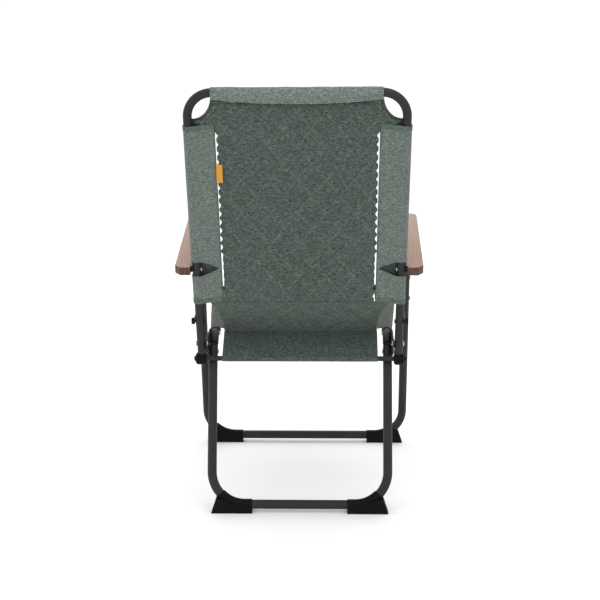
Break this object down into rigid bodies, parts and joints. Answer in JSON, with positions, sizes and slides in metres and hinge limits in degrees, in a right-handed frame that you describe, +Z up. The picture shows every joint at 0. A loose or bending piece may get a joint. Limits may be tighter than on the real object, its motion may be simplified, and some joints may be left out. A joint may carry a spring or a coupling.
{
  "type": "folding camp chair",
  "caption": "Folding camp chair with bent tube frames, a sling seat and back in heathered fabric, and wooden armrests that fold flat with the back.",
  "frame": {"origin": "on the floor, at the middle of the chair's bounding box seen from above", "axes": "+Z up, the chair faces -Y, +X is the sitter's left"},
  "size_m": [0.5866, 0.646, 1.0136],
  "materials": {
    "tube_paint": "satin powder coat",
    "black_plastic": "matt moulded",
    "bolt_steel": "dark zinc",
    "panel_fabric": "heathered woven polyester, quilted",
    "band_fabric": "heathered woven polyester",
    "label_fabric": "woven tab",
    "armrest_wood": "oiled, darker edges"
  },
  "bodies": {
    "seat": {"seat_frame": "tube_paint", "seat_frame_plugs": "black_plastic", "hinge_plates": "tube_paint", "plate_screws": "bolt_steel", "back_pivot_bolts": "bolt_steel", "back_pivot_washers": "black_plastic", "front_pivot_bolts": "bolt_steel", "front_pivot_spacers": "black_plastic", "seat_panel": "panel_fabric", "seat_sleeve_left": "band_fabric", "seat_sleeve_right": "band_fabric", "seat_front_hem": "panel_fabric", "lower_back_panel": "panel_fabric", "rear_pivot_bolts": "bolt_steel"},
    "rear_legs": {"rear_leg_frame": "tube_paint", "rear_leg_plugs": "black_plastic", "rear_foot_left": "black_plastic", "rear_foot_right": "black_plastic"},
    "front_legs": {"front_leg_frame": "tube_paint", "front_leg_plugs": "black_plastic", "front_foot_left": "black_plastic", "front_foot_right": "black_plastic", "front_link_rivets": "bolt_steel"},
    "back": {"back_frame": "tube_paint", "back_hubs": "black_plastic", "rear_rod": "tube_paint", "rod_cap_nuts": "black_plastic", "rear_flap": "panel_fabric", "back_panel": "panel_fabric", "back_sleeve_left": "band_fabric", "back_sleeve_right": "band_fabric", "top_hem": "band_fabric", "label_tag": "label_fabric", "back_link_bolts": "bolt_steel", "armrest_bolts": "bolt_steel", "armrest_spacers": "black_plastic"},
    "armrest_left": {"armrest_left": "armrest_wood", "armrest_bracket_left": "tube_paint", "bracket_pin_left": "bolt_steel", "bracket_screws_left": "bolt_steel"},
    "link_left": {"side_link_left": "tube_paint"},
    "armrest_right": {"armrest_right": "armrest_wood", "armrest_bracket_right": "tube_paint", "bracket_pin_right": "bolt_steel", "bracket_screws_right": "bolt_steel"},
    "link_right": {"side_link_right": "tube_paint"}
  },
  "joints": [
    {"name": "back_fold", "type": "hinge", "parent": "seat", "child": "back", "pos_m": [0, 0.16196, 0.398], "axis": [1, 0, 0], "range_deg": [0, 84]},
    {"name": "front_leg_fold", "type": "hinge", "parent": "seat", "child": "front_legs", "pos_m": [0, -0.20724, 0.43033], "axis": [1, 0, 0], "range_deg": [0, 84]},
    {"name": "rear_leg_fold", "type": "hinge", "parent": "seat", "child": "rear_legs", "pos_m": [0, 0.11996, 0.368], "axis": [1, 0, 0], "range_deg": [0, 58.8]},
    {"name": "armrest_left_pivot", "type": "hinge", "parent": "back", "child": "armrest_left", "pos_m": [0, 0.20905, 0.58826], "axis": [1, 0, 0], "range_deg": [-84, 0]},
    {"name": "armrest_right_pivot", "type": "hinge", "parent": "back", "child": "armrest_right", "pos_m": [0, 0.20905, 0.58826], "axis": [1, 0, 0], "range_deg": [-84, 0]},
    {"name": "link_left_pivot", "type": "hinge", "parent": "back", "child": "link_left", "pos_m": [0, 0.17638, 0.45624], "axis": [1, 0, 0], "range_deg": [-84, 0]},
    {"name": "link_right_pivot", "type": "hinge", "parent": "back", "child": "link_right", "pos_m": [0, 0.17638, 0.45624], "axis": [1, 0, 0], "range_deg": [-84, 0]}
  ],
  "couplings": [
    {"joint": "front_leg_fold", "follows": "back_fold", "ratio": 1},
    {"joint": "rear_leg_fold", "follows": "back_fold", "ratio": 0.7},
    {"joint": "armrest_left_pivot", "follows": "back_fold", "ratio": -1},
    {"joint": "armrest_right_pivot", "follows": "back_fold", "ratio": -1},
    {"joint": "link_left_pivot", "follows": "back_fold", "ratio": -1},
    {"joint": "link_right_pivot", "follows": "back_fold", "ratio": -1}
  ]
}
